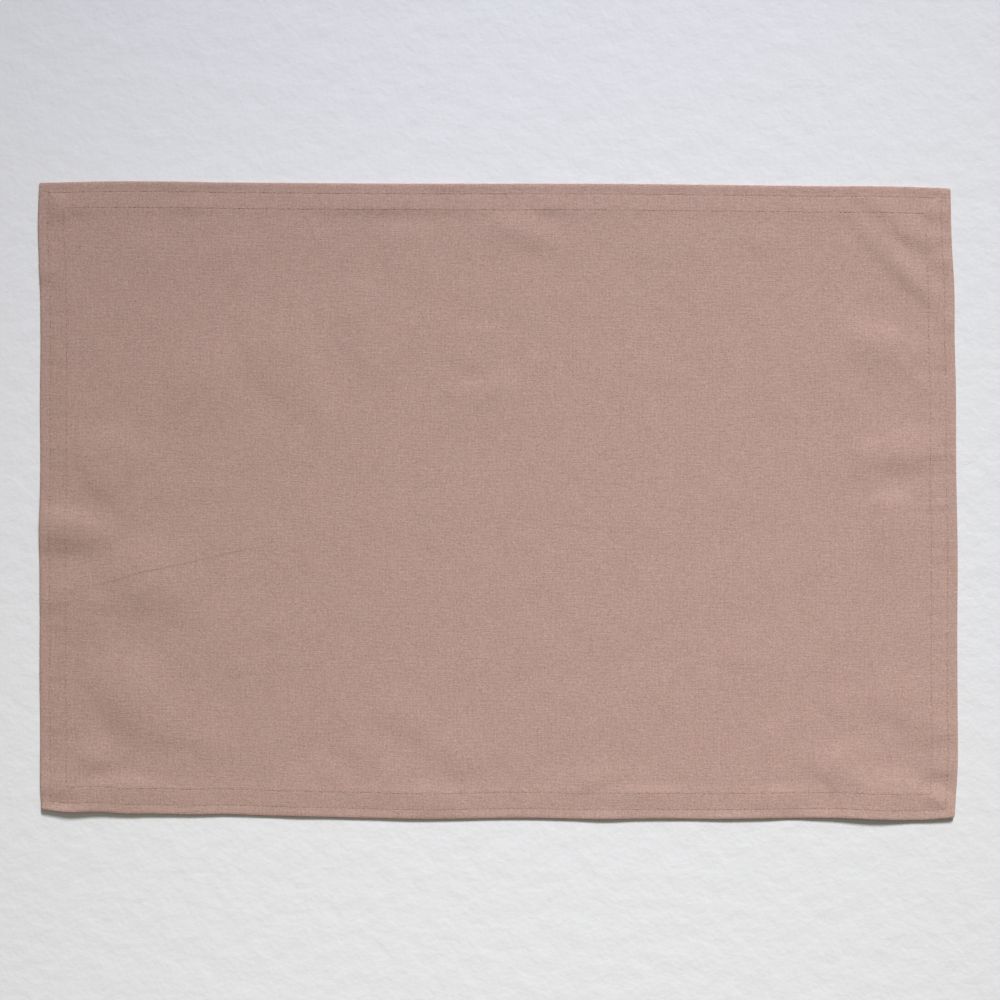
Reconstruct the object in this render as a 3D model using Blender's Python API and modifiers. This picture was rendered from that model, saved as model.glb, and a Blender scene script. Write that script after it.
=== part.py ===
"""Fabric placemat: one sheet of heavy plain-weave cloth with a stitched hem, lying flat.

Metres, +Z up. The origin is the middle of the cloth, on the surface that it lies on. +X runs along
the long sides and +Y points to the far long side. Run with blender --background --python part.py,
or from the text editor.
"""

from collections import namedtuple

import bmesh
import bpy
import numpy as np

# Driving dimensions.
CLOTH_WIDTH = 0.5000  # between the middles of the short sides
CLOTH_DEPTH = 0.3465  # between the middles of the long sides
EDGE_ROUNDING = 0.00040  # radius along the folded edge of the hem, above and below
CORNER_CUT = 0.0004  # how far each corner is drawn in, both ways
MITRE_RISE = 0.0002  # extra cloth folded under each corner's diagonal
FINE_STEP = 0.0060  # grid step near the short sides, where most folds lie
COARSE_STEP = 0.0140  # grid step along the middle of the long sides
ROW_STEP = 0.0075  # grid step from the near long side to the far one
FINE_REACH = 0.118  # how far in from a short side the fine steps go

CLOTH_COLOUR = (0.456, 0.300, 0.252, 1.0)
CLOTH_ROUGHNESS = 0.92
CLOTH_SHEEN = 0.25

# The cloth's section from its edge inwards: its thickness at each distance from the edge.
Section = namedtuple("Section", "inset thickness")
HEM_SECTIONS = (
    Section(0.0000, 0.00124),  # folded edge
    Section(0.0016, 0.00142),  # outer band, puffed up at the edge
    Section(0.0056, 0.00122),  # outer row of stitches, drawn in
    Section(0.0100, 0.00134),  # wide band between the rows
    Section(0.0143, 0.00124),  # inner row of stitches, drawn in
    Section(0.0158, 0.00127),  # last layer of the hem
    Section(0.0205, 0.00114),  # where the single cloth settles beside the hem
)
PANEL_SECTIONS = (
    Section(0.0310, 0.00106),
    Section(0.0520, 0.00100),  # single cloth, from here to the middle
)

# The outline: how far each side bows out (+) or in (-) of a straight line at points along it.
Bow = namedtuple("Bow", "along out")
NEAR_SIDE = (  # -Y, from -X to +X
    Bow(-0.250, -0.0049),
    Bow(-0.236, -0.0033),
    Bow(-0.219, -0.0035),
    Bow(-0.203, -0.0023),
    Bow(-0.192, -0.0024),
    Bow(-0.181, -0.0021),
    Bow(-0.170, -0.0018),
    Bow(-0.150, -0.0020),
    Bow(-0.126, -0.0012),
    Bow(-0.088, -0.0003),
    Bow(-0.040, 0.0007),
    Bow(0.015, 0.0000),
    Bow(0.054, 0.0008),
    Bow(0.086, 0.0004),
    Bow(0.120, 0.0007),
    Bow(0.157, 0.0002),
    Bow(0.190, 0.0001),
    Bow(0.212, 0.0010),
    Bow(0.234, 0.0010),
    Bow(0.250, -0.0005),
)
FAR_SIDE = (  # +Y, from -X to +X
    Bow(-0.250, 0.0002),
    Bow(-0.205, 0.0011),
    Bow(-0.150, 0.0005),
    Bow(-0.060, -0.0002),
    Bow(0.060, -0.0003),
    Bow(0.150, -0.0012),
    Bow(0.174, -0.0015),
    Bow(0.225, -0.0019),
    Bow(0.250, -0.0028),
)
LEFT_SIDE = (  # -X, from -Y to +Y
    Bow(-0.173, -0.0011),
    Bow(-0.150, -0.0003),
    Bow(-0.128, -0.0003),
    Bow(-0.103, 0.0000),
    Bow(-0.055, -0.0001),
    Bow(-0.025, 0.0002),
    Bow(0.022, -0.0004),
    Bow(0.050, -0.0002),
    Bow(0.090, -0.0005),
    Bow(0.110, -0.0003),
    Bow(0.130, 0.0004),
    Bow(0.150, 0.0010),
    Bow(0.173, 0.0003),
)
RIGHT_SIDE = (  # +X, from -Y to +Y
    Bow(-0.173, -0.0011),
    Bow(-0.150, 0.0006),
    Bow(-0.110, 0.0007),
    Bow(-0.070, 0.0006),
    Bow(-0.030, 0.0008),
    Bow(0.020, 0.0000),
    Bow(0.065, -0.0002),
    Bow(0.093, -0.0009),
    Bow(0.118, -0.0010),
    Bow(0.142, -0.0024),
    Bow(0.173, -0.0031),
)

# The folds: soft swellings that lift the cloth off the surface. Each has its middle, the turn of its
# crest in degrees, its reach along the crest and down either flank (far is to the left of the crest's
# direction), how far its ends bend to the near flank, and its rise.
Fold = namedtuple("Fold", "x y turn length far near bend rise")
FOLDS = (
    # left ripple
    Fold(-0.2286, -0.0142, -16, 0.0297, 0.0130, 0.0186, 0.0000, 0.00115),
    Fold(-0.2460, -0.0115, 0, 0.0167, 0.0241, 0.0260, 0.0000, 0.00045),
    Fold(-0.2362, -0.0197, 0, 0.0334, 0.0223, 0.0111, 0.0000, 0.00075),
    # tail of the ripple
    Fold(-0.1925, -0.0475, -33, 0.0408, 0.0315, 0.0158, 0.0000, 0.00085),
    # crumple above near left corner
    Fold(-0.2035, -0.1097, -50, 0.0427, 0.0334, 0.0195, 0.0000, 0.00110),
    # near left: corner turned up, and hem lifted beside it
    Fold(-0.2395, -0.1752, 0, 0.0410, 0.0400, 0.0278, 0.0000, 0.00205),
    Fold(-0.1756, -0.1752, 0, 0.0500, 0.0278, 0.0278, 0.0000, 0.00035),
    Fold(-0.2035, -0.1561, 0, 0.0334, 0.0102, 0.0371, 0.0074, 0.00095),
    # far right diagonals
    Fold(0.2145, 0.1325, -46, 0.0430, 0.0140, 0.0090, 0.0000, 0.00095),
    Fold(0.2265, 0.1180, -48, 0.0250, 0.0130, 0.0080, 0.0000, 0.00050),
    Fold(0.2243, 0.1450, -28, 0.0241, 0.0130, 0.0074, 0.0000, 0.00085),
    Fold(0.2050, 0.1620, -36, 0.0241, 0.0148, 0.0074, 0.0000, 0.00060),
    # right dimples
    Fold(0.2112, 0.0872, -10, 0.0223, 0.0111, 0.0334, 0.0000, 0.00085),
    Fold(0.2010, 0.0867, -40, 0.0223, 0.0241, 0.0121, 0.0000, 0.00055),
    Fold(0.2003, 0.0267, 0, 0.0121, 0.0121, 0.0278, 0.0000, 0.00070),
    Fold(0.2221, 0.0250, 6, 0.0297, 0.0186, 0.0130, 0.0000, 0.00105),
    Fold(0.2139, -0.0033, 0, 0.0167, 0.0121, 0.0649, 0.0000, 0.00110),
    # near right
    Fold(0.1899, -0.1397, 10, 0.0223, 0.0111, 0.0315, 0.0000, 0.00070),
    Fold(0.2117, -0.1588, 0, 0.0334, 0.0167, 0.0371, 0.0000, 0.00115),
    Fold(0.1945, -0.1763, 0, 0.0360, 0.0223, 0.0278, 0.0000, 0.00095),
    Fold(0.2494, -0.1774, 0, 0.0278, 0.0186, 0.0278, 0.0000, 0.00125),
    Fold(0.2227, -0.1152, -16, 0.0408, 0.0334, 0.0121, 0.0000, 0.00055),
)


def clear_scene():
    """Removes every object of the open file."""
    for thing in list(bpy.data.objects):
        bpy.data.objects.remove(thing, do_unlink=True)


def lines_across(length, step_at):
    """Places of the grid lines from one side to the other: one at each inset of the hem's sections
    by both sides, and steps of about step_at(place) in between."""
    half = length / 2
    insets = [section.inset for section in HEM_SECTIONS]
    place = insets[-1] - half
    between = []
    while place < -insets[-1] + half:
        between.append(place)
        place += step_at(place)
    # spread the steps a little, so that the last one ends on the far hem's line
    stretch = (length - 2 * insets[-1]) / (place - between[0])
    between = [between[0] + stretch * (spot - between[0]) for spot in between]
    near = [inset - half for inset in insets[:-1]]
    far = [half - inset for inset in reversed(insets)]
    return np.array(near + between + far)


def column_step(place):
    """Fine steps near the short sides and coarse ones between."""
    return FINE_STEP if abs(place) > CLOTH_WIDTH / 2 - FINE_REACH else COARSE_STEP


def smooth_curve(rows, at):
    """A smooth curve through a table's rows: cubic pieces whose slope at a row is the slope between
    the row's two neighbours."""
    x, y = np.array(rows).T
    slope = np.gradient(y, x)
    i = np.clip(np.searchsorted(x, at) - 1, 0, len(x) - 2)
    span = x[i + 1] - x[i]
    t = np.clip((at - x[i]) / span, 0.0, 1.0)
    start = (1 + 2 * t) * (1 - t) ** 2 * y[i] + t * (1 - t) ** 2 * span * slope[i]
    end = t**2 * (3 - 2 * t) * y[i + 1] + t**2 * (t - 1) * span * slope[i + 1]
    return start + end


def outlined(u, v):
    """The flat rectangle's points moved onto the uneven outline: each corner drawn in, each side's bow
    in full at the side itself, and in proportion between it and the opposite side."""
    corner = np.isclose(np.abs(u), CLOTH_WIDTH / 2) & np.isclose(np.abs(v), CLOTH_DEPTH / 2)
    u = u - np.sign(u) * CORNER_CUT * corner
    v = v - np.sign(v) * CORNER_CUT * corner
    right = 0.5 + u / CLOTH_WIDTH
    far = 0.5 + v / CLOTH_DEPTH
    x = u + right * smooth_curve(RIGHT_SIDE, v) - (1 - right) * smooth_curve(LEFT_SIDE, v)
    y = v + far * smooth_curve(FAR_SIDE, u) - (1 - far) * smooth_curve(NEAR_SIDE, u)
    return x, y


def ridge(fold, x, y):
    """The height of one fold: a squared cosine that falls from the crest to nothing on an ellipse,
    whose two halves differ in width."""
    turn = np.radians(fold.turn)
    along = ((x - fold.x) * np.cos(turn) + (y - fold.y) * np.sin(turn)) / fold.length
    across = (y - fold.y) * np.cos(turn) - (x - fold.x) * np.sin(turn) + fold.bend * along**2
    away = np.hypot(along, across / np.where(across > 0, fold.far, fold.near))
    return fold.rise * np.cos(np.pi / 2 * np.minimum(away, 1.0)) ** 2


def lift(x, y):
    """Height of the cloth's underside above the surface: 0 where it lies flat."""
    height = sum(ridge(fold, x, y) for fold in FOLDS)
    return np.where(height > 1e-7, height, 0.0)


def thickness(u, v):
    """Thickness by the distance from the nearest side, with the folded mitre at the corners."""
    inset_x = CLOTH_WIDTH / 2 - np.abs(u)
    inset_y = CLOTH_DEPTH / 2 - np.abs(v)
    insets, thick = np.array(HEM_SECTIONS + PANEL_SECTIONS).T
    across = np.interp(np.minimum(inset_x, inset_y), insets, thick)
    hem_width = HEM_SECTIONS[-2].inset
    fine = HEM_SECTIONS[1].inset / 2
    on_mitre = (np.abs(inset_x - inset_y) < fine) & (inset_x < hem_width) & (inset_x > fine)
    return across + MITRE_RISE * on_mitre


def cloth_sheet():
    """The underside of the cloth as one open grid, with its thickness as a vertex group."""
    columns = lines_across(CLOTH_WIDTH, column_step)
    rows = lines_across(CLOTH_DEPTH, lambda place: ROW_STEP)
    cells_x = len(columns) - 1
    cells_y = len(rows) - 1
    mesh = bpy.data.meshes.new("placemat_cloth")
    grid = bmesh.new()
    bmesh.ops.create_grid(grid, x_segments=cells_x, y_segments=cells_y, size=0.5)
    grid.to_mesh(mesh)
    grid.free()

    points = np.empty(len(mesh.vertices) * 3)
    mesh.vertices.foreach_get("co", points)
    points = points.reshape(-1, 3)
    u = columns[np.rint((points[:, 0] + 0.5) * cells_x).astype(int)]
    v = rows[np.rint((points[:, 1] + 0.5) * cells_y).astype(int)]
    x, y = outlined(u, v)
    x -= (x.min() + x.max()) / 2
    y -= (y.min() + y.max()) / 2
    points = np.stack([x, y, lift(x, y)], axis=1)
    mesh.vertices.foreach_set("co", points.ravel())
    mesh.update()

    cloth = bpy.data.objects.new("placemat_cloth", mesh)
    thick = thickness(u, v)
    group = cloth.vertex_groups.new(name="thickness")
    for index, share in enumerate(thick / thick.max()):
        group.add([index], float(share), "REPLACE")
    return cloth, float(thick.max())


def give_thickness(cloth, most):
    """Solidify upwards from the underside, then round the rim's edges."""
    solid = cloth.modifiers.new("thickness", "SOLIDIFY")
    solid.thickness = most
    solid.offset = 1.0
    solid.vertex_group = "thickness"
    rounding = cloth.modifiers.new("rounded edge", "BEVEL")
    rounding.limit_method = "ANGLE"
    rounding.angle_limit = np.radians(50.0)
    rounding.width = EDGE_ROUNDING
    rounding.segments = 1
    rounding.use_clamp_overlap = False


def cloth_material():
    """Dyed cloth: matt, with a little sheen from its loose fibres."""
    material = bpy.data.materials.new("placemat_cloth")
    material.use_nodes = True
    shader = material.node_tree.nodes["Principled BSDF"]
    shader.inputs["Base Color"].default_value = CLOTH_COLOUR
    shader.inputs["Roughness"].default_value = CLOTH_ROUGHNESS
    shader.inputs["Metallic"].default_value = 0.0
    shader.inputs["Sheen Weight"].default_value = CLOTH_SHEEN
    return material


def build_placemat():
    """Clears the scene and builds the placemat in a collection of its own."""
    clear_scene()
    collection = bpy.data.collections.new("fabric placemat")
    bpy.context.scene.collection.children.link(collection)
    cloth, most = cloth_sheet()
    collection.objects.link(cloth)
    cloth.data.materials.append(cloth_material())
    cloth.data.shade_smooth()
    give_thickness(cloth, most)


build_placemat()
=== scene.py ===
"""Fabric placemat: the hemmed cloth, its two rows of machine stitches and a plain stage.

Laid out as an add-on and run as a script. Everything is in metres, +Z up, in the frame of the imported
part: the origin is the middle of the cloth on the surface that it lies on, +X runs along the long
sides and +Y points to the far long side.
"""

from collections import namedtuple
from functools import reduce

import bpy
import numpy as np
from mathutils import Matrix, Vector


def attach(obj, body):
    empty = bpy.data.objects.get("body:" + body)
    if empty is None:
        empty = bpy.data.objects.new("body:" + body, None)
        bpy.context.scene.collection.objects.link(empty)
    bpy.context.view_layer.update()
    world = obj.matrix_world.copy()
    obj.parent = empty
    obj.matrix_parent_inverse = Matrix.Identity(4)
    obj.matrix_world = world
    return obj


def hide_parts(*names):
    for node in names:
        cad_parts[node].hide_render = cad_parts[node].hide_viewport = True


bl_info = {
    "name": "Fabric Placemat",
    "version": (1, 0, 0),
    "blender": (4, 5, 0),
    "location": "3D View > Sidebar > Placemat",
    "description": "Lays a hemmed and stitched cloth placemat flat on a plain floor",
    "category": "Add Mesh",
}

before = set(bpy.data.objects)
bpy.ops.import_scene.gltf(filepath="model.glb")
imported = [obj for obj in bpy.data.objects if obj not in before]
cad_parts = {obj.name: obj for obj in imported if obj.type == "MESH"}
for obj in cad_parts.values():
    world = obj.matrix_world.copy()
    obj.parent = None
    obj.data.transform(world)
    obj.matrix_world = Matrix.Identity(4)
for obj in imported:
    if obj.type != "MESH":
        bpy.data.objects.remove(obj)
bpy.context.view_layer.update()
SOLID_NODE = "placemat_cloth"

# --- the outline ---

# How far each side bows out (+) or in (-) of a straight line at points along it.
Bow = namedtuple("Bow", "along out")
NEAR_SIDE = (  # -Y, from -X to +X
    Bow(-0.250, -0.0049),
    Bow(-0.236, -0.0033),
    Bow(-0.219, -0.0035),
    Bow(-0.203, -0.0023),
    Bow(-0.192, -0.0024),
    Bow(-0.181, -0.0021),
    Bow(-0.170, -0.0018),
    Bow(-0.150, -0.0020),
    Bow(-0.126, -0.0012),
    Bow(-0.088, -0.0003),
    Bow(-0.040, 0.0007),
    Bow(0.015, 0.0000),
    Bow(0.054, 0.0008),
    Bow(0.086, 0.0004),
    Bow(0.120, 0.0007),
    Bow(0.157, 0.0002),
    Bow(0.190, 0.0001),
    Bow(0.212, 0.0010),
    Bow(0.234, 0.0010),
    Bow(0.250, -0.0005),
)
FAR_SIDE = (  # +Y, from -X to +X
    Bow(-0.250, 0.0002),
    Bow(-0.205, 0.0011),
    Bow(-0.150, 0.0005),
    Bow(-0.060, -0.0002),
    Bow(0.060, -0.0003),
    Bow(0.150, -0.0012),
    Bow(0.174, -0.0015),
    Bow(0.225, -0.0019),
    Bow(0.250, -0.0028),
)
LEFT_SIDE = (  # -X, from -Y to +Y
    Bow(-0.173, -0.0011),
    Bow(-0.150, -0.0003),
    Bow(-0.128, -0.0003),
    Bow(-0.103, 0.0000),
    Bow(-0.055, -0.0001),
    Bow(-0.025, 0.0002),
    Bow(0.022, -0.0004),
    Bow(0.050, -0.0002),
    Bow(0.090, -0.0005),
    Bow(0.110, -0.0003),
    Bow(0.130, 0.0004),
    Bow(0.150, 0.0010),
    Bow(0.173, 0.0003),
)
RIGHT_SIDE = (  # +X, from -Y to +Y
    Bow(-0.173, -0.0011),
    Bow(-0.150, 0.0006),
    Bow(-0.110, 0.0007),
    Bow(-0.070, 0.0006),
    Bow(-0.030, 0.0008),
    Bow(0.020, 0.0000),
    Bow(0.065, -0.0002),
    Bow(0.093, -0.0009),
    Bow(0.118, -0.0010),
    Bow(0.142, -0.0024),
    Bow(0.173, -0.0031),
)

# --- the folds ---

# Soft swellings of the cloth. Each has its middle, the turn of its crest in degrees, its reach along
# the crest and down either flank (far is to the left of the crest's direction), its rise, and how far
# its ends bend to the near flank where it isn't straight.
Fold = namedtuple("Fold", "x y turn length far near rise bend", defaults=(0.0,))
FOLDS = (  # these lift the whole cloth off the surface
    # left ripple
    Fold(-0.2286, -0.0142, -16, 0.0297, 0.0130, 0.0186, 0.00115),
    Fold(-0.2460, -0.0115, 0, 0.0167, 0.0241, 0.0260, 0.00045),
    Fold(-0.2362, -0.0197, 0, 0.0334, 0.0223, 0.0111, 0.00075),
    # tail of the ripple
    Fold(-0.1925, -0.0475, -33, 0.0408, 0.0315, 0.0158, 0.00085),
    # crumple above near left corner
    Fold(-0.2035, -0.1097, -50, 0.0427, 0.0334, 0.0195, 0.0011),
    # near left: corner turned up, and hem lifted beside it
    Fold(-0.2395, -0.1752, 0, 0.0410, 0.0400, 0.0278, 0.00205),
    Fold(-0.1756, -0.1752, 0, 0.0500, 0.0278, 0.0278, 0.00035),
    Fold(-0.2035, -0.1561, 0, 0.0334, 0.0102, 0.0371, 0.00095, 0.0074),
    # far right diagonals
    Fold(0.2145, 0.1325, -46, 0.0430, 0.0140, 0.0090, 0.00095),
    Fold(0.2265, 0.1180, -48, 0.0250, 0.0130, 0.0080, 0.0005),
    Fold(0.2243, 0.1450, -28, 0.0241, 0.0130, 0.0074, 0.00085),
    Fold(0.2050, 0.1620, -36, 0.0241, 0.0148, 0.0074, 0.0006),
    # right dimples
    Fold(0.2112, 0.0872, -10, 0.0223, 0.0111, 0.0334, 0.00085),
    Fold(0.2010, 0.0867, -40, 0.0223, 0.0241, 0.0121, 0.00055),
    Fold(0.2003, 0.0267, 0, 0.0121, 0.0121, 0.0278, 0.0007),
    Fold(0.2221, 0.0250, 6, 0.0297, 0.0186, 0.0130, 0.00105),
    Fold(0.2139, -0.0033, 0, 0.0167, 0.0121, 0.0649, 0.0011),
    # near right
    Fold(0.1899, -0.1397, 10, 0.0223, 0.0111, 0.0315, 0.0007),
    Fold(0.2117, -0.1588, 0, 0.0334, 0.0167, 0.0371, 0.00115),
    Fold(0.1945, -0.1763, 0, 0.0360, 0.0223, 0.0278, 0.00095),
    Fold(0.2494, -0.1774, 0, 0.0278, 0.0186, 0.0278, 0.00125),
    Fold(0.2227, -0.1152, -16, 0.0408, 0.0334, 0.0121, 0.00055),
)
WRINKLES = (  # low ones of the upper face alone: ridges (+) and troughs (-)
    Fold(-0.2220, 0.0212, -66, 0.0278, 0.0334, 0.0093, 0.0005),
    Fold(-0.2166, 0.0076, -34, 0.0160, 0.0186, 0.0083, 0.00045),
    Fold(-0.2264, -0.0497, -4, 0.0204, 0.0186, 0.0464, 0.00065),
    Fold(-0.2449, -0.0541, 0, 0.0148, 0.0241, 0.0111, 0.00055),
    Fold(-0.2056, -0.0573, -10, 0.0241, 0.0167, 0.0065, 0.00022),
    Fold(-0.2176, -0.1419, 0, 0.0139, 0.0111, 0.0065, 0.0005),
    Fold(-0.2220, -0.1392, 0, 0.0167, 0.0167, 0.0204, 0.0007),
    Fold(-0.2427, -0.1645, 0, 0.0241, 0.0102, 0.0068, -0.001),
    Fold(-0.2373, -0.1632, 60, 0.0204, 0.0083, 0.0083, -0.00025),
    Fold(-0.1729, -0.1266, -10, 0.0315, 0.0315, 0.0121, 0.00045),
    Fold(-0.1582, -0.1359, -60, 0.0148, 0.0186, 0.0093, 0.00035),
    Fold(-0.1674, 0.0092, 0, 0.0390, 0.0046, 0.0167, 0.00013),
    Fold(-0.1402, -0.0928, 0, 0.0102, 0.0093, 0.0278, 0.00035),
    Fold(-0.1249, -0.0704, -20, 0.0130, 0.0167, 0.0065, 0.00025),
    Fold(-0.1893, -0.0366, 6, 0.0334, 0.0260, 0.0464, 0.00075),
    Fold(-0.1975, -0.1032, 0, 0.0278, 0.0278, 0.0557, 0.00045),
    Fold(-0.1483, -0.0661, 0, 0.0278, 0.0223, 0.0557, 0.00035),
    # right
    Fold(0.2238, 0.0703, -48, 0.0204, 0.0167, 0.0065, 0.00035),
    Fold(0.2287, 0.0812, -60, 0.0111, 0.0130, 0.0065, 0.0003),
    Fold(0.2308, 0.0627, 0, 0.0083, 0.0083, 0.0167, 0.0004),
    Fold(0.1954, 0.0540, 0, 0.0241, 0.0186, 0.0464, 0.00035),
    Fold(0.1779, -0.1474, -40, 0.0223, 0.0186, 0.0074, 0.0005),
    Fold(0.2407, -0.1457, 0, 0.0148, 0.0167, 0.0083, 0.0006),
    Fold(0.2396, -0.1621, 0, 0.0121, 0.0083, 0.0083, 0.00085),
    Fold(0.1479, -0.1294, 0, 0.0130, 0.0204, 0.0371, 0.00035),
    Fold(0.1937, -0.1523, 0, 0.0093, 0.0130, 0.0074, 0.00035),
    Fold(0.2363, -0.1294, 0, 0.0297, 0.0223, 0.0083, 0.00045),
    Fold(0.1861, -0.1141, -40, 0.0130, 0.0186, 0.0083, 0.00025),
    Fold(0.1534, -0.1616, 0, 0.0223, 0.0093, 0.0371, 0.0004),
    Fold(0.1305, -0.0863, -10, 0.0130, 0.0223, 0.0083, 0.00025),
    Fold(0.1899, 0.0889, 0, 0.0241, 0.0186, 0.0557, 0.00045),
    # far right corner
    Fold(0.2390, 0.1576, 0, 0.0111, 0.0093, 0.0074, 0.0005),
    Fold(0.2396, 0.1434, 0, 0.0111, 0.0093, 0.0093, 0.00035),
    Fold(0.2434, 0.1303, 0, 0.0093, 0.0093, 0.0093, 0.0004),
    Fold(0.2418, 0.1107, 0, 0.0111, 0.0083, 0.0167, 0.00035),
    Fold(0.2472, 0.0976, 0, 0.0074, 0.0065, 0.0065, 0.0004),
    Fold(0.2265, 0.1522, 0, 0.0130, 0.0074, 0.0278, 0.00025),
    # arcs, upper left
    Fold(-0.1042, 0.0703, -76, 0.0557, 0.0130, 0.0241, 0.00065, -0.0056),
    Fold(-0.0725, 0.0823, -62, 0.0315, 0.0241, 0.0130, 0.0006),
    Fold(-0.0791, 0.1031, -55, 0.0204, 0.0278, 0.0111, 0.0003),
    Fold(-0.1282, 0.0769, -60, 0.0352, 0.0278, 0.0130, 0.00055),
    Fold(-0.1544, 0.0780, -30, 0.0334, 0.0223, 0.0371, 0.0005),
    Fold(-0.1598, 0.0572, 0, 0.0371, 0.0371, 0.0241, 0.00055),
    Fold(-0.2100, 0.0267, 0, 0.0371, 0.0186, 0.0557, 0.0006),
    # upper hem
    Fold(-0.0801, 0.1609, 0, 0.0334, 0.0371, 0.0074, 0.0005),
    Fold(-0.0556, 0.1609, 0, 0.0278, 0.0371, 0.0074, 0.0004),
    Fold(-0.0310, 0.1609, 0, 0.0278, 0.0371, 0.0074, 0.0003),
    Fold(-0.1674, 0.1609, 0, 0.0186, 0.0371, 0.0074, 0.00045),
    Fold(-0.2329, 0.1598, 0, 0.0204, 0.0186, 0.0083, 0.0005),
    Fold(-0.2395, 0.1625, 0, 0.0093, 0.0083, 0.0186, 0.0005),
    Fold(0.0284, 0.1614, 0, 0.0111, 0.0186, 0.0083, 0.0006),
    Fold(0.0181, 0.1456, -24, 0.0260, 0.0130, 0.0130, 0.00075),
    Fold(0.0017, 0.1500, 0, 0.0130, 0.0093, 0.0278, 0.00035),
    Fold(-0.1445, 0.1380, 0, 0.0130, 0.0093, 0.0278, 0.0004),
    Fold(-0.0474, 0.1423, 0, 0.0241, 0.0130, 0.0371, 0.0005),
    Fold(-0.1947, 0.1391, 12, 0.0186, 0.0074, 0.0278, 0.00025),
    Fold(-0.0256, 0.1729, 0, 0.0204, 0.0148, 0.0074, 0.00035),
    Fold(-0.1702, 0.1729, 0, 0.0204, 0.0148, 0.0074, 0.00035),
    Fold(0.0917, 0.1369, 8, 0.0334, 0.0278, 0.0111, 0.0003),
    Fold(0.1419, 0.1402, -70, 0.0111, 0.0186, 0.0093, 0.00025),
    Fold(-0.2466, 0.1238, 0, 0.0111, 0.0148, 0.0074, 0.0005),
    # middle
    Fold(-0.0076, 0.0911, -6, 0.0204, 0.0074, 0.0278, 0.00042),
    Fold(-0.0158, 0.0747, -24, 0.0139, 0.0186, 0.0065, 0.00032),
    Fold(-0.0147, 0.0600, 12, 0.0297, 0.0083, 0.0278, 0.00042),
    Fold(0.0061, 0.0638, -60, 0.0130, 0.0074, 0.0278, 0.00022),
    Fold(0.0192, 0.0758, 0, 0.0093, 0.0083, 0.0186, 0.00025),
    Fold(0.0017, 0.1096, 0, 0.0278, 0.0278, 0.0148, 0.00022),
    Fold(-0.0420, 0.0911, 0, 0.0278, 0.0223, 0.0278, 0.0003),
    # lower middle
    Fold(-0.0540, -0.1174, -30, 0.0260, 0.0186, 0.0148, 0.00045),
    Fold(-0.0310, -0.1348, -42, 0.0352, 0.0260, 0.0121, 0.00038),
    Fold(-0.0736, -0.1392, -42, 0.0223, 0.0186, 0.0083, 0.0004),
    Fold(-0.0900, -0.1501, -45, 0.0241, 0.0083, 0.0111, 0.00035),
    Fold(-0.1074, -0.1534, 0, 0.0186, 0.0148, 0.0371, 0.0004),
    Fold(-0.0392, -0.1616, -6, 0.0260, 0.0111, 0.0371, 0.0006),
    Fold(-0.0540, -0.1490, -50, 0.0130, 0.0093, 0.0278, 0.0003),
    Fold(0.0519, -0.1534, 14, 0.0241, 0.0130, 0.0074, 0.0005),
    Fold(0.0584, -0.1746, 0, 0.0186, 0.0093, 0.0186, 0.0005),
    Fold(0.0808, -0.1599, 0, 0.0315, 0.0065, 0.0278, 0.0004),
    Fold(0.0781, -0.1577, 0, 0.0167, 0.0186, 0.0065, 0.00015),
    Fold(0.0377, -0.1097, -20, 0.0083, 0.0148, 0.0046, 0.00028),
    Fold(0.0262, -0.1043, -30, 0.0074, 0.0148, 0.0046, 0.0002),
    Fold(-0.0147, -0.1403, 0, 0.0204, 0.0278, 0.0130, 0.00025),
    Fold(0.1299, -0.1752, 0, 0.0260, 0.0083, 0.0186, 0.00035),
    Fold(0.1580, -0.1740, 0, 0.0150, 0.0080, 0.0120, -0.00045),
    Fold(-0.0370, -0.1740, 0, 0.0220, 0.0060, 0.0120, -0.00035),
)

# Hairline creases: a pressed line that drops by a depth within a narrow width on its far side and fades
# out over a wider one on its near side. The mesh carries the trough, and the bump sharpens its far side.
Crease = namedtuple("Crease", "from_u from_v to_u to_v depth")
CREASES = (
    Crease(-0.2245, -0.0510, -0.1930, -0.0413, 0.00017),
    Crease(-0.2010, -0.0433, -0.1595, -0.0338, 0.00018),
    Crease(-0.1650, -0.0349, -0.1270, -0.0263, 0.00013),
    Crease(0.0259, -0.0126, 0.0500, -0.0150, 0.00007),
    Crease(0.0400, -0.0146, 0.0777, -0.0151, 0.00006),
)
CREASE_SHARP = 0.0009  # the far side's true width
CREASE_MESHED = 0.0026  # and its width in the mesh
CREASE_SOFT = 0.0050  # the near side's width

# --- the hem's section ---

# Height of the upper face above the underside's plane at distances from the edge.
Section = namedtuple("Section", "inset height")
HEM_SECTIONS = (
    Section(0.0000, 0.00118),
    Section(0.0006, 0.00136),
    Section(0.0012, 0.00143),  # outer band, puffed up at the very edge
    Section(0.0020, 0.00140),
    Section(0.0032, 0.00132),
    Section(0.0044, 0.00126),
    Section(0.0056, 0.00124),  # outer row of stitches
    Section(0.0066, 0.00126),
    Section(0.0085, 0.00129),  # wide band, a little higher towards the inner row
    Section(0.0110, 0.00131),
    Section(0.0132, 0.00132),
    Section(0.0143, 0.00130),  # inner row of stitches
    Section(0.0158, 0.00127),  # last layer of the hem
    Section(0.0180, 0.00117),
    Section(0.0240, 0.00111),  # single cloth, coming down to the surface
    Section(0.0310, 0.00106),
    Section(0.0400, 0.00102),
    Section(0.0520, 0.00100),
)
SINGLE_CLOTH = 0.00100  # thickness inside the hem
WAVES_START = 0.004  # the cloth's waves are in full from this inset on
ROW_DIP = 0.00001  # how deep a row of stitches cuts into the upper face
ROW_DIP_REACH = 0.0006
UNDER_DIP = 0.00030  # and into the underside, where the thread lies within the furrow
UNDER_DIP_REACH = 0.0009
PUCKER = 0.00002  # height of the puffs between the needle holes
PUCKER_REACH = 0.0016
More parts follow.
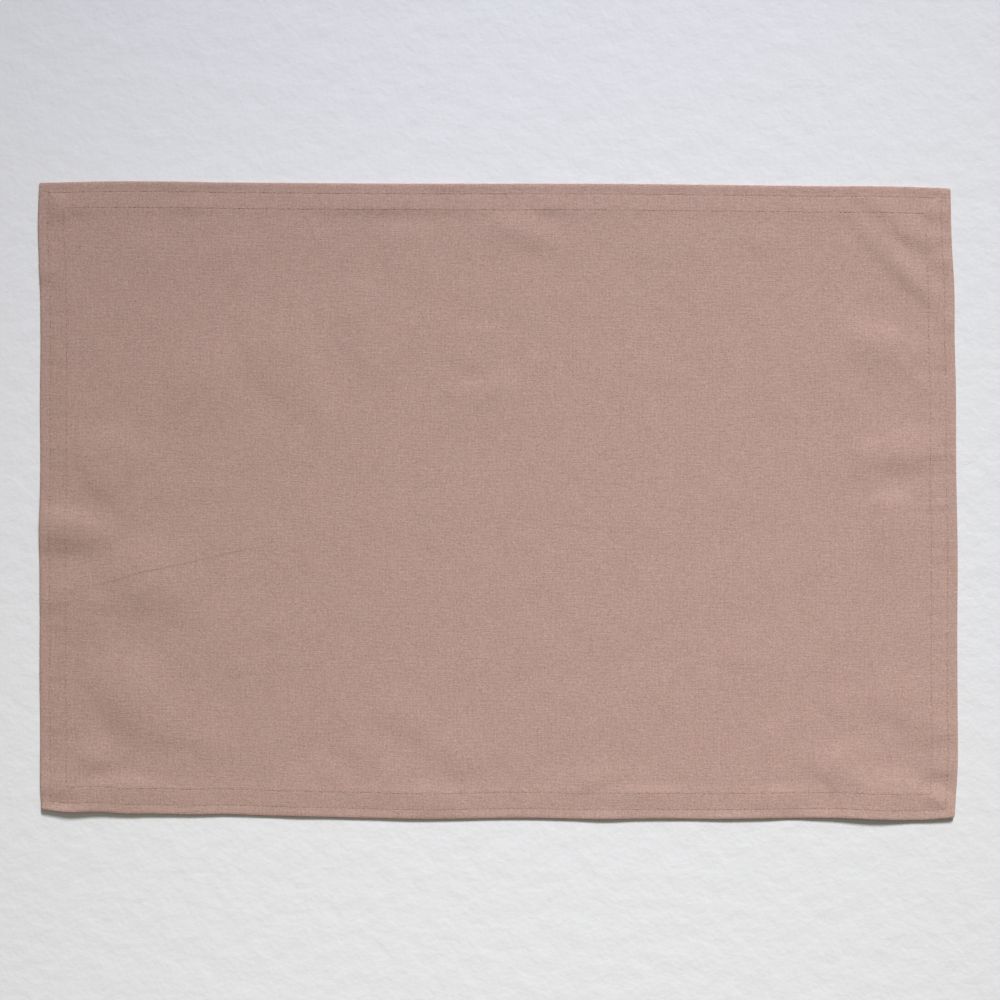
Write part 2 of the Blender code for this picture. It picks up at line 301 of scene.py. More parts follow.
EDGE_RADIUS = 0.0006  # half width of the rounded edge
CORNER_RADIUS = 0.0013
MITRE_RISE = 0.00010  # extra cloth folded under each corner's diagonal
MITRE_REACH = 0.0016
MITRE_START = 0.003  # in full from this inset on
MITRE_FADE = (0.010, 0.017)  # fading out between these insets
SEAM_START = (0.001, 0.003)  # the mitre's seam below begins between these

# Mesh: loops run round the cloth at set insets, with even steps along each side.
STEPS_LONG = 600
STEPS_SHORT = 414
PANEL_RATIO = 3  # steps of the hem to one of the panel above
UNDER_RATIO = 2  # steps of the hem's underside to one of the panel's underside
PANEL_GAP = 0.0020  # from the last loop of the upper face to the panel's grid
UNDER_GAP = 0.0030  # and on the underside
RIM_LOOPS = 4

RANDOM_SEED = 7
PANEL_WAVES = (0.060, 0.009, 26)  # longest, shortest and how many
PANEL_SLOPE = 0.0004  # height of each wave to its length
HEM_WAVES = (0.050, 0.007, 7)
HEM_PULL = 0.00007

Sizes = namedtuple("Sizes", "width depth hem_width outer_row inner_row")


# --- shape functions ---


def smooth_curve(rows, at):
    """A smooth curve through a table's rows: cubic pieces whose slope at a row is the slope between
    the row's two neighbours."""
    x, y = np.array(rows).T
    slope = np.gradient(y, x)
    i = np.clip(np.searchsorted(x, at) - 1, 0, len(x) - 2)
    span = x[i + 1] - x[i]
    t = np.clip((at - x[i]) / span, 0.0, 1.0)
    start = (1 + 2 * t) * (1 - t) ** 2 * y[i] + t * (1 - t) ** 2 * span * slope[i]
    end = t**2 * (3 - 2 * t) * y[i + 1] + t**2 * (t - 1) * span * slope[i + 1]
    return start + end


def smooth_step(low, high, at):
    """0 below low, 1 above high, and 3 t^2 - 2 t^3 between."""
    t = np.clip((at - low) / (high - low), 0.0, 1.0)
    return t * t * (3 - 2 * t)


def bell(distance, reach):
    """exp(-(distance / reach)^2)."""
    return np.exp(-((distance / reach) ** 2))


def round_corners(u, v, sizes):
    """Flat points by a corner moved onto its rounding: squares about the rounding's centre become
    circles."""
    inset_x, inset_y = insets_of(u, v, sizes)
    a = np.clip(1 - inset_x / CORNER_RADIUS, 0.0, None)
    b = np.clip(1 - inset_y / CORNER_RADIUS, 0.0, None)
    pull = CORNER_RADIUS * (1 - np.maximum(a, b) / np.maximum(np.hypot(a, b), 1e-9))
    return u - np.sign(u) * pull * a, v - np.sign(v) * pull * b


def outlined(u, v, sizes):
    """Flat points moved onto the uneven outline: each side's bow in full at the side itself, and in
    proportion between it and the opposite side. The outline's box is centred on the origin."""
    u, v = round_corners(u, v, sizes)
    right = 0.5 + u / sizes.width
    far = 0.5 + v / sizes.depth
    x = u + right * smooth_curve(RIGHT_SIDE, v) - (1 - right) * smooth_curve(LEFT_SIDE, v)
    y = v + far * smooth_curve(FAR_SIDE, u) - (1 - far) * smooth_curve(NEAR_SIDE, u)
    across = np.linspace(-0.5, 0.5, 401)
    shift_x = smooth_curve(RIGHT_SIDE, across * sizes.depth).max()
    shift_x -= smooth_curve(LEFT_SIDE, across * sizes.depth).max()
    shift_y = smooth_curve(FAR_SIDE, across * sizes.width).max()
    shift_y -= smooth_curve(NEAR_SIDE, across * sizes.width).max()
    return x - shift_x / 2, y - shift_y / 2


def ridge(fold, x, y):
    """The height of one fold: a squared cosine that falls from the crest to nothing on an ellipse,
    whose two halves differ in width."""
    turn = np.radians(fold.turn)
    along = ((x - fold.x) * np.cos(turn) + (y - fold.y) * np.sin(turn)) / fold.length
    across = (y - fold.y) * np.cos(turn) - (x - fold.x) * np.sin(turn) + fold.bend * along**2
    away = np.hypot(along, across / np.where(across > 0, fold.far, fold.near))
    return fold.rise * np.cos(np.pi / 2 * np.minimum(away, 1.0)) ** 2


def lift(x, y):
    """How far the folds lift the cloth off the surface."""
    return sum(ridge(fold, x, y) for fold in FOLDS)


def insets_of(u, v, sizes):
    """Distances from the nearest short side and the nearest long side."""
    return sizes.width / 2 - np.abs(u), sizes.depth / 2 - np.abs(v)


def stitch_count(length, pitch):
    """How many stitches a side's row has."""
    return int(round(length / pitch))


def row_phase(u, v, row, pitch, sizes):
    """Stitches counted along the row of the nearest side, whole at the needle holes."""
    inset_x, inset_y = insets_of(u, v, sizes)
    long_row = sizes.width - 2 * row
    short_row = sizes.depth - 2 * row
    by_long = (u / long_row + 0.5) * stitch_count(long_row, pitch)
    by_short = (v / short_row + 0.5) * stitch_count(short_row, pitch)
    return np.where(inset_y <= inset_x, by_long, by_short)


def waves(place, seed, longest, shortest, count):
    """A sum of sines of even loudness whose wavelengths fall from longest to shortest, about 1 high."""
    draw = np.random.default_rng(seed)
    lengths = np.geomspace(longest, shortest, count)
    phases = draw.uniform(0, 2 * np.pi, count)
    sines = (np.sin(2 * np.pi * place / each + phase) for each, phase in zip(lengths, phases))
    return sum(sines) / np.sqrt(count)


def sewn_relief(u, v, sizes, pitch):
    """Relief of the upper face by the sewing: furrows along both rows (a bell across each), and puffs
    between the needle holes (a cosine along the row, a bell across it)."""
    inset = np.minimum(*insets_of(u, v, sizes))
    relief = np.zeros_like(inset)
    for row in (sizes.outer_row, sizes.inner_row):
        phase = row_phase(u, v, row, pitch, sizes)
        relief -= ROW_DIP * bell(inset - row, ROW_DIP_REACH)
        relief -= PUCKER * np.cos(2 * np.pi * phase) * bell(inset - row, PUCKER_REACH)
    return relief


def unevenness(u, v, sizes):
    """Gentle irregular waves of the cloth: plane waves of random direction and phase, whose height
    grows with their length, and a livelier pull along the hem."""
    draw = np.random.default_rng(RANDOM_SEED)
    height = np.zeros_like(u)
    for length in np.geomspace(*PANEL_WAVES):
        turn, phase = draw.uniform(0, 2 * np.pi, 2)
        place = u * np.cos(turn) + v * np.sin(turn)
        height += PANEL_SLOPE * length * np.sin(2 * np.pi * place / length + phase)
    inset_x, inset_y = insets_of(u, v, sizes)
    along = np.where(inset_y <= inset_x, u, v + sizes.width)
    on_hem = bell(np.minimum(inset_x, inset_y) - 0.6 * sizes.inner_row, 0.6 * sizes.inner_row)
    return height + HEM_PULL * on_hem * waves(along, RANDOM_SEED, *HEM_WAVES)


def crease_frame(crease):
    """A crease's middle, half its length and its direction's angle, in the flat cloth."""
    run_u, run_v = crease.to_u - crease.from_u, crease.to_v - crease.from_v
    middle = ((crease.from_u + crease.to_u) / 2, (crease.from_v + crease.to_v) / 2)
    return middle, float(np.hypot(run_u, run_v)) / 2, float(np.arctan2(run_v, run_u))


def trough(crease, u, v):
    """The depth of one crease in the mesh: a bell across its line, wider on the near side, times
    1 - along^4."""
    (middle_u, middle_v), half, turn = crease_frame(crease)
    along = ((u - middle_u) * np.cos(turn) + (v - middle_v) * np.sin(turn)) / half
    across = (v - middle_v) * np.cos(turn) - (u - middle_u) * np.sin(turn)
    side = bell(across, np.where(across > 0, CREASE_MESHED, CREASE_SOFT))
    return crease.depth * side * np.clip(1 - along**4, 0.0, None)


def upper_face(u, v, sizes, pitch):
    """Height of the upper face above the flat underside: the hem's section, its relief, the mitre's
    ridge, the waves, the creases and the low wrinkles."""
    inset_x, inset_y = insets_of(u, v, sizes)
    inset = np.minimum(inset_x, inset_y)
    height = smooth_curve(HEM_SECTIONS, inset) + sewn_relief(u, v, sizes, pitch)
    mitre = bell(inset_x - inset_y, MITRE_REACH) * (1 - smooth_step(*MITRE_FADE, inset))
    height += MITRE_RISE * mitre * smooth_step(0.0, MITRE_START, inset)
    height += unevenness(u, v, sizes) * smooth_step(0.0, WAVES_START, inset)
    height -= sum(trough(crease, u, v) for crease in CREASES)
    x, y = outlined(u, v, sizes)
    return height + sum(ridge(wrinkle, x, y) for wrinkle in WRINKLES)


def under_face(u, v, sizes):
    """Height of the underside: the hem lies flat but for a furrow along each row of stitches and the
    seam of each mitre. Past its inner fold the single cloth starts higher and comes down to the
    surface. Troughs of the upper face press down lifted cloth as far as the surface below it."""
    inset_x, inset_y = insets_of(u, v, sizes)
    inset = np.minimum(inset_x, inset_y)
    seam = bell(inset_x - inset_y, UNDER_DIP_REACH) * smooth_step(*SEAM_START, inset)
    furrows = [bell(inset - row, UNDER_DIP_REACH) for row in (sizes.outer_row, sizes.inner_row)]
    hem = UNDER_DIP * np.maximum(seam, sum(furrows))
    sag = smooth_curve(HEM_SECTIONS, inset) - SINGLE_CLOTH
    x, y = outlined(u, v, sizes)
    pressed = sum(np.minimum(ridge(wrinkle, x, y), 0.0) for wrinkle in WRINKLES)
    return np.where(inset > sizes.hem_width + 1e-5, sag, hem) + np.maximum(pressed, -lift(x, y))


def laid(u, v, height, sizes):
    """Points of the flat cloth, at a height above its underside, where they come to lie."""
    x, y = outlined(u, v, sizes)
    return np.stack([x, y, lift(x, y) + height], axis=1)


# --- mesh helpers ---


def loop_at(inset, steps_long, steps_short, sizes):
    """One closed loop of flat points at an inset: even steps along each side, anticlockwise from the
    near left corner."""
    half_x = sizes.width / 2 - inset
    half_y = sizes.depth / 2 - inset
    run_x = np.linspace(-half_x, half_x, steps_long, endpoint=False)
    run_y = np.linspace(-half_y, half_y, steps_short, endpoint=False)
    side_x = np.full(steps_short, half_x)
    side_y = np.full(steps_long, half_y)
    u = np.concatenate([run_x, side_x, -run_x, -side_x])
    v = np.concatenate([-side_y, run_y, side_y, -run_y])
    return u, v


def panel_points(inset, steps_long, steps_short, sizes):
    """The flat points inside a loop as an even grid, row by row, and its border's places in the same
    order as loop_at."""
    half_x = sizes.width / 2 - inset
    half_y = sizes.depth / 2 - inset
    u, v = np.meshgrid(
        np.linspace(-half_x, half_x, steps_long + 1), np.linspace(-half_y, half_y, steps_short + 1)
    )
    index = np.arange(u.size).reshape(u.shape)
    border = np.concatenate([index[0, :-1], index[:-1, -1], index[-1, :0:-1], index[:0:-1, 0]])
    quads = np.stack([index[:-1, :-1], index[:-1, 1:], index[1:, 1:], index[1:, :-1]], axis=-1)
    return u.ravel(), v.ravel(), border, quads.reshape(-1, 4)


def band(earlier, later):
    """Quads between two loops of the same length, outward where the second lies outside the first on
    the upper face, or inside it on the underside."""
    return np.stack([later, np.roll(later, -1), np.roll(earlier, -1), earlier], axis=1)


def zipped(fine, coarse):
    """Triangles between an outer loop and an inner one that has a whole fraction of its steps, facing
    up: each inner step's triangle meets the outer loop halfway, and fans fill both sides of it."""
    ratio = len(fine) // len(coarse)
    first = np.arange(len(coarse)) * ratio
    following = np.roll(coarse, -1)
    middle = (ratio + 1) // 2
    triangles = [np.stack([fine[first + middle], following, coarse], axis=1)]
    for step in range(ratio):
        end = fine[(first + step + 1) % len(fine)]
        tip = coarse if step < middle else following
        triangles.append(np.stack([fine[first + step], end, tip], axis=1))
    return np.concatenate(triangles)


def make_piece(name, points, faces, material, uv=None):
    """A mesh object at the origin from points and lists of faces, shaded smooth, with its own UV map
    named flat where one is given for each point."""
    mesh = bpy.data.meshes.new(name)
    mesh.from_pydata(points.tolist(), [], [face for group in faces for face in group.tolist()])
    if uv is not None:
        corner = np.empty(len(mesh.loops), dtype=np.int64)
        mesh.loops.foreach_get("vertex_index", corner)
        layer = mesh.uv_layers.new(name="flat")
        layer.uv.foreach_set("vector", uv[corner].astype(np.float32).ravel())
    mesh.shade_smooth()
    mesh.materials.append(material)
    mesh.validate()
    piece = bpy.data.objects.new(name, mesh)
    bpy.context.scene.collection.objects.link(piece)
    return piece


# --- the cloth ---


def upper_insets(sizes):
    """Insets of the loops of the upper face, close together by the rows and the hem's inner fold."""
    by_row = np.array([-0.0012, -0.0006, 0.0, 0.0006, 0.0012])
    outside = np.array([EDGE_RADIUS, 0.0018, 0.0031])
    between = np.array([0.0083, 0.0100, 0.0117])
    inside = sizes.hem_width + np.array([0.0006, 0.0020, 0.0038, 0.0060])
    rows = [sizes.outer_row + by_row, between, sizes.inner_row + by_row]
    return np.concatenate([outside, *rows, inside])


def under_insets(sizes):
    """Insets of the loops of the underside, with the hem's inner fold as a steep step."""
    by_row = np.array([-0.0012, -0.0004, 0.0004, 0.0012])
    fold = sizes.hem_width + np.array([0.0, 0.00012, 0.0040, 0.0090, 0.0150])
    rows = [sizes.outer_row + by_row, [0.0100], sizes.inner_row + by_row]
    return np.concatenate([[0.0022], *rows, fold])


def cloth_shape(sizes, pitch):
    """The whole closed surface. One profile is carried round the cloth: over the hem's upper face to
    the side, round the folded edge (a half ellipse) and back under the hem. Even grids close the
    panel above and below. Returns the points, the faces and each point's flat place."""
    flat_u, flat_v, heights, faces = [], [], [], []

    def put(u, v, height):
        start = sum(len(part) for part in flat_u)
        flat_u.append(u)
        flat_v.append(v)
        heights.append(height)
        return start + np.arange(len(u))

    # upper panel and hem
    insets = upper_insets(sizes)[::-1]
    steps = np.array([STEPS_LONG, STEPS_SHORT])
    u, v, border, quads = panel_points(insets[0] + PANEL_GAP, *steps // PANEL_RATIO, sizes)
    panel = put(u, v, upper_face(u, v, sizes, pitch))
    loops = []
    for inset in insets:
        u, v = loop_at(inset, *steps, sizes)
        loops.append(put(u, v, upper_face(u, v, sizes, pitch)))
    faces += [panel[quads], zipped(loops[0], panel[border])]

    # folded edge
    top, low = heights[-1], under_face(u, v, sizes)
    for angle in np.linspace(0, np.pi, RIM_LOOPS + 2)[1:]:
        u, v = loop_at(EDGE_RADIUS * (1 - np.sin(angle)), *steps, sizes)
        loops.append(put(u, v, low + (top - low) / 2 * (1 + np.cos(angle))))
    faces += [band(earlier, later) for earlier, later in zip(loops, loops[1:])]

    # underside of the hem and of the panel
    insets = under_insets(sizes)
    steps = steps // PANEL_RATIO
    under = []
    for inset in insets:
        u, v = loop_at(inset, *steps, sizes)
        under.append(put(u, v, under_face(u, v, sizes)))
    faces.append(zipped(loops[-1], under[0])[:, ::-1])
    faces += [band(earlier, later) for earlier, later in zip(under, under[1:])]
    u, v, border, quads = panel_points(insets[-1] + UNDER_GAP, *steps // UNDER_RATIO, sizes)
    panel = put(u, v, under_face(u, v, sizes))
    faces += [panel[quads][:, ::-1], zipped(under[-1], panel[border])[:, ::-1]]

    u, v = np.concatenate(flat_u), np.concatenate(flat_v)
    points = laid(u, v, np.concatenate(heights), sizes)
    return points, faces, np.stack([u, v], axis=1)


# --- the stitches ---

STITCH_REACH = 0.46  # half of a stitch's visible length, to the stitch length
STITCH_PLACES = np.array([-1.0, -0.86, -0.5, 0.0, 0.5, 0.86, 1.0])  # of its sections along it
STITCH_SIDES = 6
STITCH_FLATNESS = 0.7  # height of a section to its width
STITCH_SINK = 0.3  # depth of its ends below the cloth's face, in threads
# The mean and deviation of a stitch's slant, place aside, fullness and rise.
STITCH_MEANS = (0.05, 0.0, 1.0, 0.0)
STITCH_DEVIATIONS = (0.02, 0.00006, 0.08, 0.00003)


def stitch_centres(row, pitch, sizes):
    """Middles, directions and lengths of the stitches of one row, side after side, anticlockwise."""
    half_x, half_y = sizes.width / 2 - row, sizes.depth / 2 - row
    corners = np.array([[-half_x, -half_y], [half_x, -half_y], [half_x, half_y], [-half_x, half_y]])
    places, directions, lengths = [], [], []
    for start, end in zip(corners, np.roll(corners, -1, axis=0)):
        run = np.hypot(*(end - start))
        count = stitch_count(run, pitch)
        shares = (np.arange(count) + 0.5) / count
        places.append(start + shares[:, None] * (end - start))
        directions.append(np.tile((end - start) / run, (count, 1)))
        lengths.append(np.full(count, run / count))
    return np.concatenate(places), np.concatenate(directions), np.concatenate(lengths)


def stitches(row, pitch, thread, under, sizes):
    """All stitches of one row, above or under the hem: each a short thread that rises out of one needle
    hole and dives into the next. Along it goes from -1 to 1; its radius is thread / 2 times
    (1 - along^4)^(1/2), its middle arches by 1 - along^2 from the cloth's face, and it lies at a slight
    slant. Returns points, faces and UV (around, along)."""
    draw = np.random.default_rng(RANDOM_SEED)
    places, directions, lengths = stitch_centres(row, pitch, sizes)
    count = len(places)
    scatter = draw.normal(STITCH_MEANS, STITCH_DEVIATIONS, (count, 4))
    # arrays of stitches by sections by sides from here on
    slant, aside, full, rise = scatter.T[:, :, None, None]
    (mid_u, mid_v), (du, dv) = places.T[:, :, None, None], directions.T[:, :, None, None]
    reach = STITCH_REACH * lengths[:, None, None]
    along = STITCH_PLACES[None, :, None]
    angle = 2 * np.pi * np.arange(STITCH_SIDES) / STITCH_SIDES

    radius = thread / 2 * full * np.sqrt(np.maximum(1 - along**4, 0.04))
    forward = reach * along + 0 * angle
    sideways = radius * np.cos(angle) + slant * along * reach + aside
    u, v = mid_u + du * forward, mid_v + dv * forward
    face = under_face(u, v, sizes) if under else upper_face(u, v, sizes, pitch)
    arch = thread * (0.5 * (1 - along**2) - STITCH_SINK) + rise
    height = face + (-arch if under else arch) + radius * np.sin(angle) * STITCH_FLATNESS
    u, v = u - dv * sideways, v + du * sideways
    points = laid(u.ravel(), v.ravel(), height.ravel(), sizes)

    index = np.arange(u.size).reshape(u.shape)
    turned = np.roll(index, -1, axis=2)
    quads = np.stack([index[:, :-1], turned[:, :-1], turned[:, 1:], index[:, 1:]], axis=-1)
    caps = [index[:, 0, ::-1], index[:, -1, :]]
    around = np.broadcast_to(angle / (2 * np.pi), index.shape)
    distance = np.broadcast_to((reach * along) / thread, index.shape)
    uv = np.stack([around.ravel(), distance.ravel()], axis=1)
    return points, [quads.reshape(-1, 4), *caps], uv


# --- materials ---

# Irregularities of the cloth, each as noise: its cycles along u and v (a metre, or a yarn where the
# number is below 2), seed, detail and roughness, and its share in the tone and in the height.
Grain = namedtuple("Grain", "along_u along_v seed detail roughness tone height")
GRAINS = (
    Grain(850.0, 1.0, 1, 1.0, 0.5, 0.47, 0.00010),  # weft yarns
    Grain(1.0, 850.0, 2, 1.0, 0.5, 0.42, 0.00008),  # warp yarns
    Grain(1400.0, 1400.0, 8, 0.0, 0.5, 0.25, 0.0),  # fibres
    Grain(130.0, 0.8, 3, 1.0, 0.5, 0.15, 0.00008),  # slubs in the weft
    Grain(0.8, 110.0, 6, 1.0, 0.5, 0.12, 0.0),  # ribs in the warp
    Grain(75.0, 75.0, 4, 4.0, 0.6, 0.08, 0.0),  # melange
)
WEAVE_HEIGHT = 0.000012  # half of the rise of a yarn over the next
MARK_TONE = 0.024  # share in the tone of the wandering marks
MARK_WANDER = 14.0  # how many radians a mark's phase goes with its noise
DEEPER_DYE = (0.79, 1.08, 1.18)  # how much a darker tone takes from red, green and blue
HUE_SPREAD = (0.075, 0.030, 0.095)  # how far red, green and blue wander apart in the yarns
HOLE_REACH = 0.00028  # a needle hole's size
# painted shade: how much darker the needle holes and the threads' ends are made
HOLE_PAINTED_SHADE = 0.5
HOLE_DEPTH = 0.00003
TWIST_TURNS = (2.0, 1.4)  # ridges round the sewing thread, and turns to each diameter along it
TWIST_TONE = 0.06
FLOOR_PAINTED_REACH = 0.3  # how far from the middle the floor's painted light and shade goes on changing


def new_material(name):
    """An empty node material with a Principled BSDF, and its node tree and shader."""
    material = bpy.data.materials.new(name)
    material.use_nodes = True
    tree = material.node_tree
    return material, tree, tree.nodes["Principled BSDF"]


def feed(tree, socket, value):
    """Links a socket to another, or sets its value."""
    if isinstance(value, bpy.types.NodeSocket):
        tree.links.new(value, socket)
    else:
        socket.default_value = value


def node_of(tree, kind, operation, values):
    """A node of an operation over sockets or values."""
    node = tree.nodes.new(kind)
    node.operation = operation
    for socket, value in zip(node.inputs, values):
        feed(tree, socket, value)
    return node


def math(tree, operation, *values, clamp=False):
    """A Math node's result."""
    node = node_of(tree, "ShaderNodeMath", operation, values)
    node.use_clamp = clamp
    return node.outputs[0]


def triple(tree, operation, *values):
    """A Vector Math node's result."""
    return node_of(tree, "ShaderNodeVectorMath", operation, values).outputs[0]


def total(tree, *values):
    """The sum of sockets or numbers."""
    return reduce(lambda result, value: math(tree, "ADD", result, value), values)


def product(tree, *values):
    """The product of sockets or numbers."""
    return reduce(lambda result, value: math(tree, "MULTIPLY", result, value), values)


def swing(tree, noise, reach):
    """Noise about 0.5 turned into one about 0, times the reach."""
    return product(tree, math(tree, "SUBTRACT", noise, 0.5), reach)


def flat_place(tree):
    """The UV map named flat: places in the flat cloth, or round and along a thread."""
    place = tree.nodes.new("ShaderNodeUVMap")
    place.uv_map = "flat"
    return place.outputs[0]


def both_parts(tree, vector):
    """The X and Y of a vector."""
    parts = tree.nodes.new("ShaderNodeSeparateXYZ")
    feed(tree, parts.inputs[0], vector)
    return parts.outputs["X"], parts.outputs["Y"]


def mapped(tree, vector, kind, location, turn, scale):
    """A vector through a Mapping node of a kind, turned about Z."""
    mapping = tree.nodes.new("ShaderNodeMapping")
    mapping.vector_type = kind
    feed(tree, mapping.inputs["Vector"], vector)
    mapping.inputs["Location"].default_value = location
    mapping.inputs["Rotation"].default_value = (0.0, 0.0, turn)
    mapping.inputs["Scale"].default_value = scale
    return mapping.outputs[0]


def stretched_noise(tree, flat, per_metre_u, per_metre_v, seed, detail=2.0, roughness=0.5):
    """A Noise node about 0.5 whose grain differs along and across the cloth, in cycles a metre."""
    shift = (3.7 * seed, 1.9 * seed, 5.3 * seed)
    noise = tree.nodes.new("ShaderNodeTexNoise")
    scale = (per_metre_u, per_metre_v, 1.0)
    feed(tree, noise.inputs["Vector"], mapped(tree, flat, "POINT", shift, 0.0, scale))
    noise.inputs["Scale"].default_value = 1.0
    noise.inputs["Detail"].default_value = detail
    noise.inputs["Roughness"].default_value = roughness
    return noise.outputs["Fac"]


def surface(tree, shader, height, distance, strength, roughness, specular):
    """Links a height to the shader's normal as bump, and sets how rough and shiny it is."""
    bump = tree.nodes.new("ShaderNodeBump")
    bump.inputs["Strength"].default_value = strength
    bump.inputs["Distance"].default_value = distance
    feed(tree, bump.inputs["Height"], height)
    feed(tree, shader.inputs["Normal"], bump.outputs[0])
    shader.inputs["Roughness"].default_value = roughness
    shader.inputs["Specular IOR Level"].default_value = specular


def crease_height(tree, flat, crease):
    """What the mesh lacks of one crease: its depth times the difference between the trough's wide bell
    and the true sharp one, on the far side alone, fading at both ends."""
    middle, half, turn = crease_frame(crease)
    place = mapped(tree, flat, "TEXTURE", (*middle, 0.0), turn, (half, 1.0, 1.0))
    along, across = both_parts(tree, place)
    quartic = math(tree, "POWER", math(tree, "ABSOLUTE", along), 4.0)
    fade = math(tree, "SUBTRACT", 1.0, quartic, clamp=True)
    far = math(tree, "MAXIMUM", across, 0.0)
    wide = math(tree, "EXPONENT", product(tree, far, far, -1 / CREASE_MESHED**2))
    sharp = math(tree, "EXPONENT", product(tree, far, far, -1 / CREASE_SHARP**2))
    return product(tree, math(tree, "SUBTRACT", wide, sharp), fade, crease.depth)


def needle_holes(tree, u, v, row, pitch, sizes):
    """1 in the middle of each needle hole of a row and a bell round it: on the long sides the holes
    follow u, on the short ones v."""
    spots = []
    half_x, half_y = sizes.width / 2 - row, sizes.depth / 2 - row
    for along, across, half_run, half_gap in ((u, v, half_x, half_y), (v, u, half_y, half_x)):
        count = stitch_count(2 * half_run, pitch)
        step = 2 * half_run / count
        phase = total(tree, product(tree, along, 1 / step), count / 2 + 0.5)
        apart = swing(tree, math(tree, "FRACT", phase), step)
        aside = math(tree, "SUBTRACT", math(tree, "ABSOLUTE", across), half_gap)
        squares = total(tree, product(tree, apart, apart), product(tree, aside, aside))
        spot = math(tree, "EXPONENT", product(tree, squares, -1 / HOLE_REACH**2))
        within = math(tree, "LESS_THAN", math(tree, "ABSOLUTE", along), half_run + step / 4)
        spots.append(product(tree, spot, within))
    return math(tree, "MAXIMUM", *spots)


def wandering_marks(tree, flat, u, v, finish):
    """Cosines every few ends and picks, whose phase wanders."""
    marks = []
    for seed, (across, every) in enumerate(((u, finish.reed_pitch), (v, finish.pick_pitch)), 9):
        wander = swing(tree, stretched_noise(tree, flat, 120.0, 120.0, seed), MARK_WANDER)
        marks.append(math(tree, "COSINE", total(tree, product(tree, across, 2 * np.pi / every), wander)))
    return total(tree, *marks)


def dyed(tree, flat, tone, colour):
    """The cloth's dye at a tone about 1, a tone that also carries the painted shade of the needle holes:
    darker spots are deeper dyed, and the hue wanders.
    """
    deeper = triple(tree, "MULTIPLY_ADD", total(tree, tone, -1.0), DEEPER_DYE, (1.0, 1.0, 1.0))
    even = tuple(1 - share / 2 for share in HUE_SPREAD)
    hue = stretched_noise(tree, flat, 300.0, 300.0, 5).node.outputs["Color"]
    hues = triple(tree, "MULTIPLY_ADD", hue, HUE_SPREAD, even)
    return triple(tree, "MULTIPLY", triple(tree, "MULTIPLY", deeper, hues), colour)


def cloth_material(finish, sewing, sizes):
    """Dyed plain weave of slubby yarns: its grains and wandering marks in the tone, painted shade in the
    needle holes, and the height of yarns, holes and creases as bump."""
    material, tree, shader = new_material("placemat_cloth")
    flat = flat_place(tree)
    u, v = both_parts(tree, flat)
    rows = (sizes.outer_row, sizes.inner_row)
    holes = total(tree, *[needle_holes(tree, u, v, row, sewing.pitch, sizes) for row in rows])
    uneven = stretched_noise(tree, flat, 420.0, 420.0, 7, detail=0.0)
    some = product(tree, math(tree, "SUBTRACT", uneven, 0.45), 5.0)
    holes = math(tree, "MULTIPLY", holes, some, clamp=True)

    # plain weave: the yarns of one system rise where the other's sink
    turn = np.pi / finish.yarn_pitch
    over = product(tree, *[math(tree, "SINE", product(tree, place, turn)) for place in (u, v)])
    tones = [1.0, product(tree, wandering_marks(tree, flat, u, v, finish), MARK_TONE)]
    heights = [product(tree, over, WEAVE_HEIGHT), product(tree, holes, -HOLE_DEPTH)]
    for grain in GRAINS:
        scale = [each / finish.yarn_pitch if each < 2 else each for each in grain[:2]]
        noise = stretched_noise(tree, flat, *scale, grain.seed, grain.detail, grain.roughness)
        tones.append(swing(tree, noise, grain.tone))
        if grain.height:
            heights.append(swing(tree, noise, grain.height))
    heights += [crease_height(tree, flat, crease) for crease in CREASES]

    # painted shade in the needle holes: the tone is made darker round each hole
    darker = total(tree, 1.0, product(tree, holes, -HOLE_PAINTED_SHADE))
    tone = product(tree, total(tree, *tones), darker)
    feed(tree, shader.inputs["Base Color"], dyed(tree, flat, tone, finish.cloth_colour))
    surface(tree, shader, total(tree, *heights), 1.0, 1.0, roughness=0.92, specular=0.25)
    shader.inputs["Sheen Weight"].default_value = 0.12
    shader.inputs["Sheen Roughness"].default_value = 0.5
    return material


def thread_material(finish, sewing):
    """Twisted sewing thread: a fine slanted ridge round it, a little darker than the cloth, and painted
    shade at its ends where it dives into its holes."""
    material, tree, shader = new_material("placemat_thread")
    around, along = both_parts(tree, flat_place(tree))
    ridges, slope = TWIST_TURNS
    turns = total(tree, product(tree, around, ridges), product(tree, along, slope))
    twist = math(tree, "COSINE", product(tree, turns, 2 * np.pi))
    ends = sewing.thread / (STITCH_REACH * sewing.pitch)
    # painted shade at the thread's ends, where it dives into the cloth
    sunk = math(tree, "POWER", product(tree, math(tree, "ABSOLUTE", along), ends), 6.0)
    tone = total(tree, 1.0, product(tree, twist, TWIST_TONE), product(tree, sunk, -HOLE_PAINTED_SHADE))
    feed(tree, shader.inputs["Base Color"], triple(tree, "MULTIPLY", tone, finish.thread_colour))
    surface(tree, shader, twist, 0.00003, 0.8, roughness=0.75, specular=0.3)
    return material


def floor_material(stage):
    """Plain pale plaster with a barely uneven face, with painted light across it: a shade paler to the
    left than to the right, standing in for how the light falls.
    """
    material, tree, shader = new_material("stage_floor")
    place = tree.nodes.new("ShaderNodeTexCoord").outputs["Object"]
    across = both_parts(tree, place)[0]
    # painted light and shade: the floor's colour goes from paler on the left to darker on the right
    painted_floor_light = tree.nodes.new("ShaderNodeMix")
    painted_floor_light.data_type = "RGBA"
    share = total(tree, 0.5, product(tree, across, 1 / (2 * FLOOR_PAINTED_REACH)))
    feed(tree, painted_floor_light.inputs["Factor"], share)
    painted_floor_light.inputs["A"].default_value = (*stage.floor_painted_left, 1.0)
    painted_floor_light.inputs["B"].default_value = (*stage.floor_painted_right, 1.0)
    feed(tree, shader.inputs["Base Color"], painted_floor_light.outputs["Result"])
    grain = stretched_noise(tree, place, 90.0, 90.0, 1, detail=5.0, roughness=0.6)
    surface(tree, shader, grain, 0.0006, 1.0, roughness=0.95, specular=0.1)
    return material


# --- properties ---


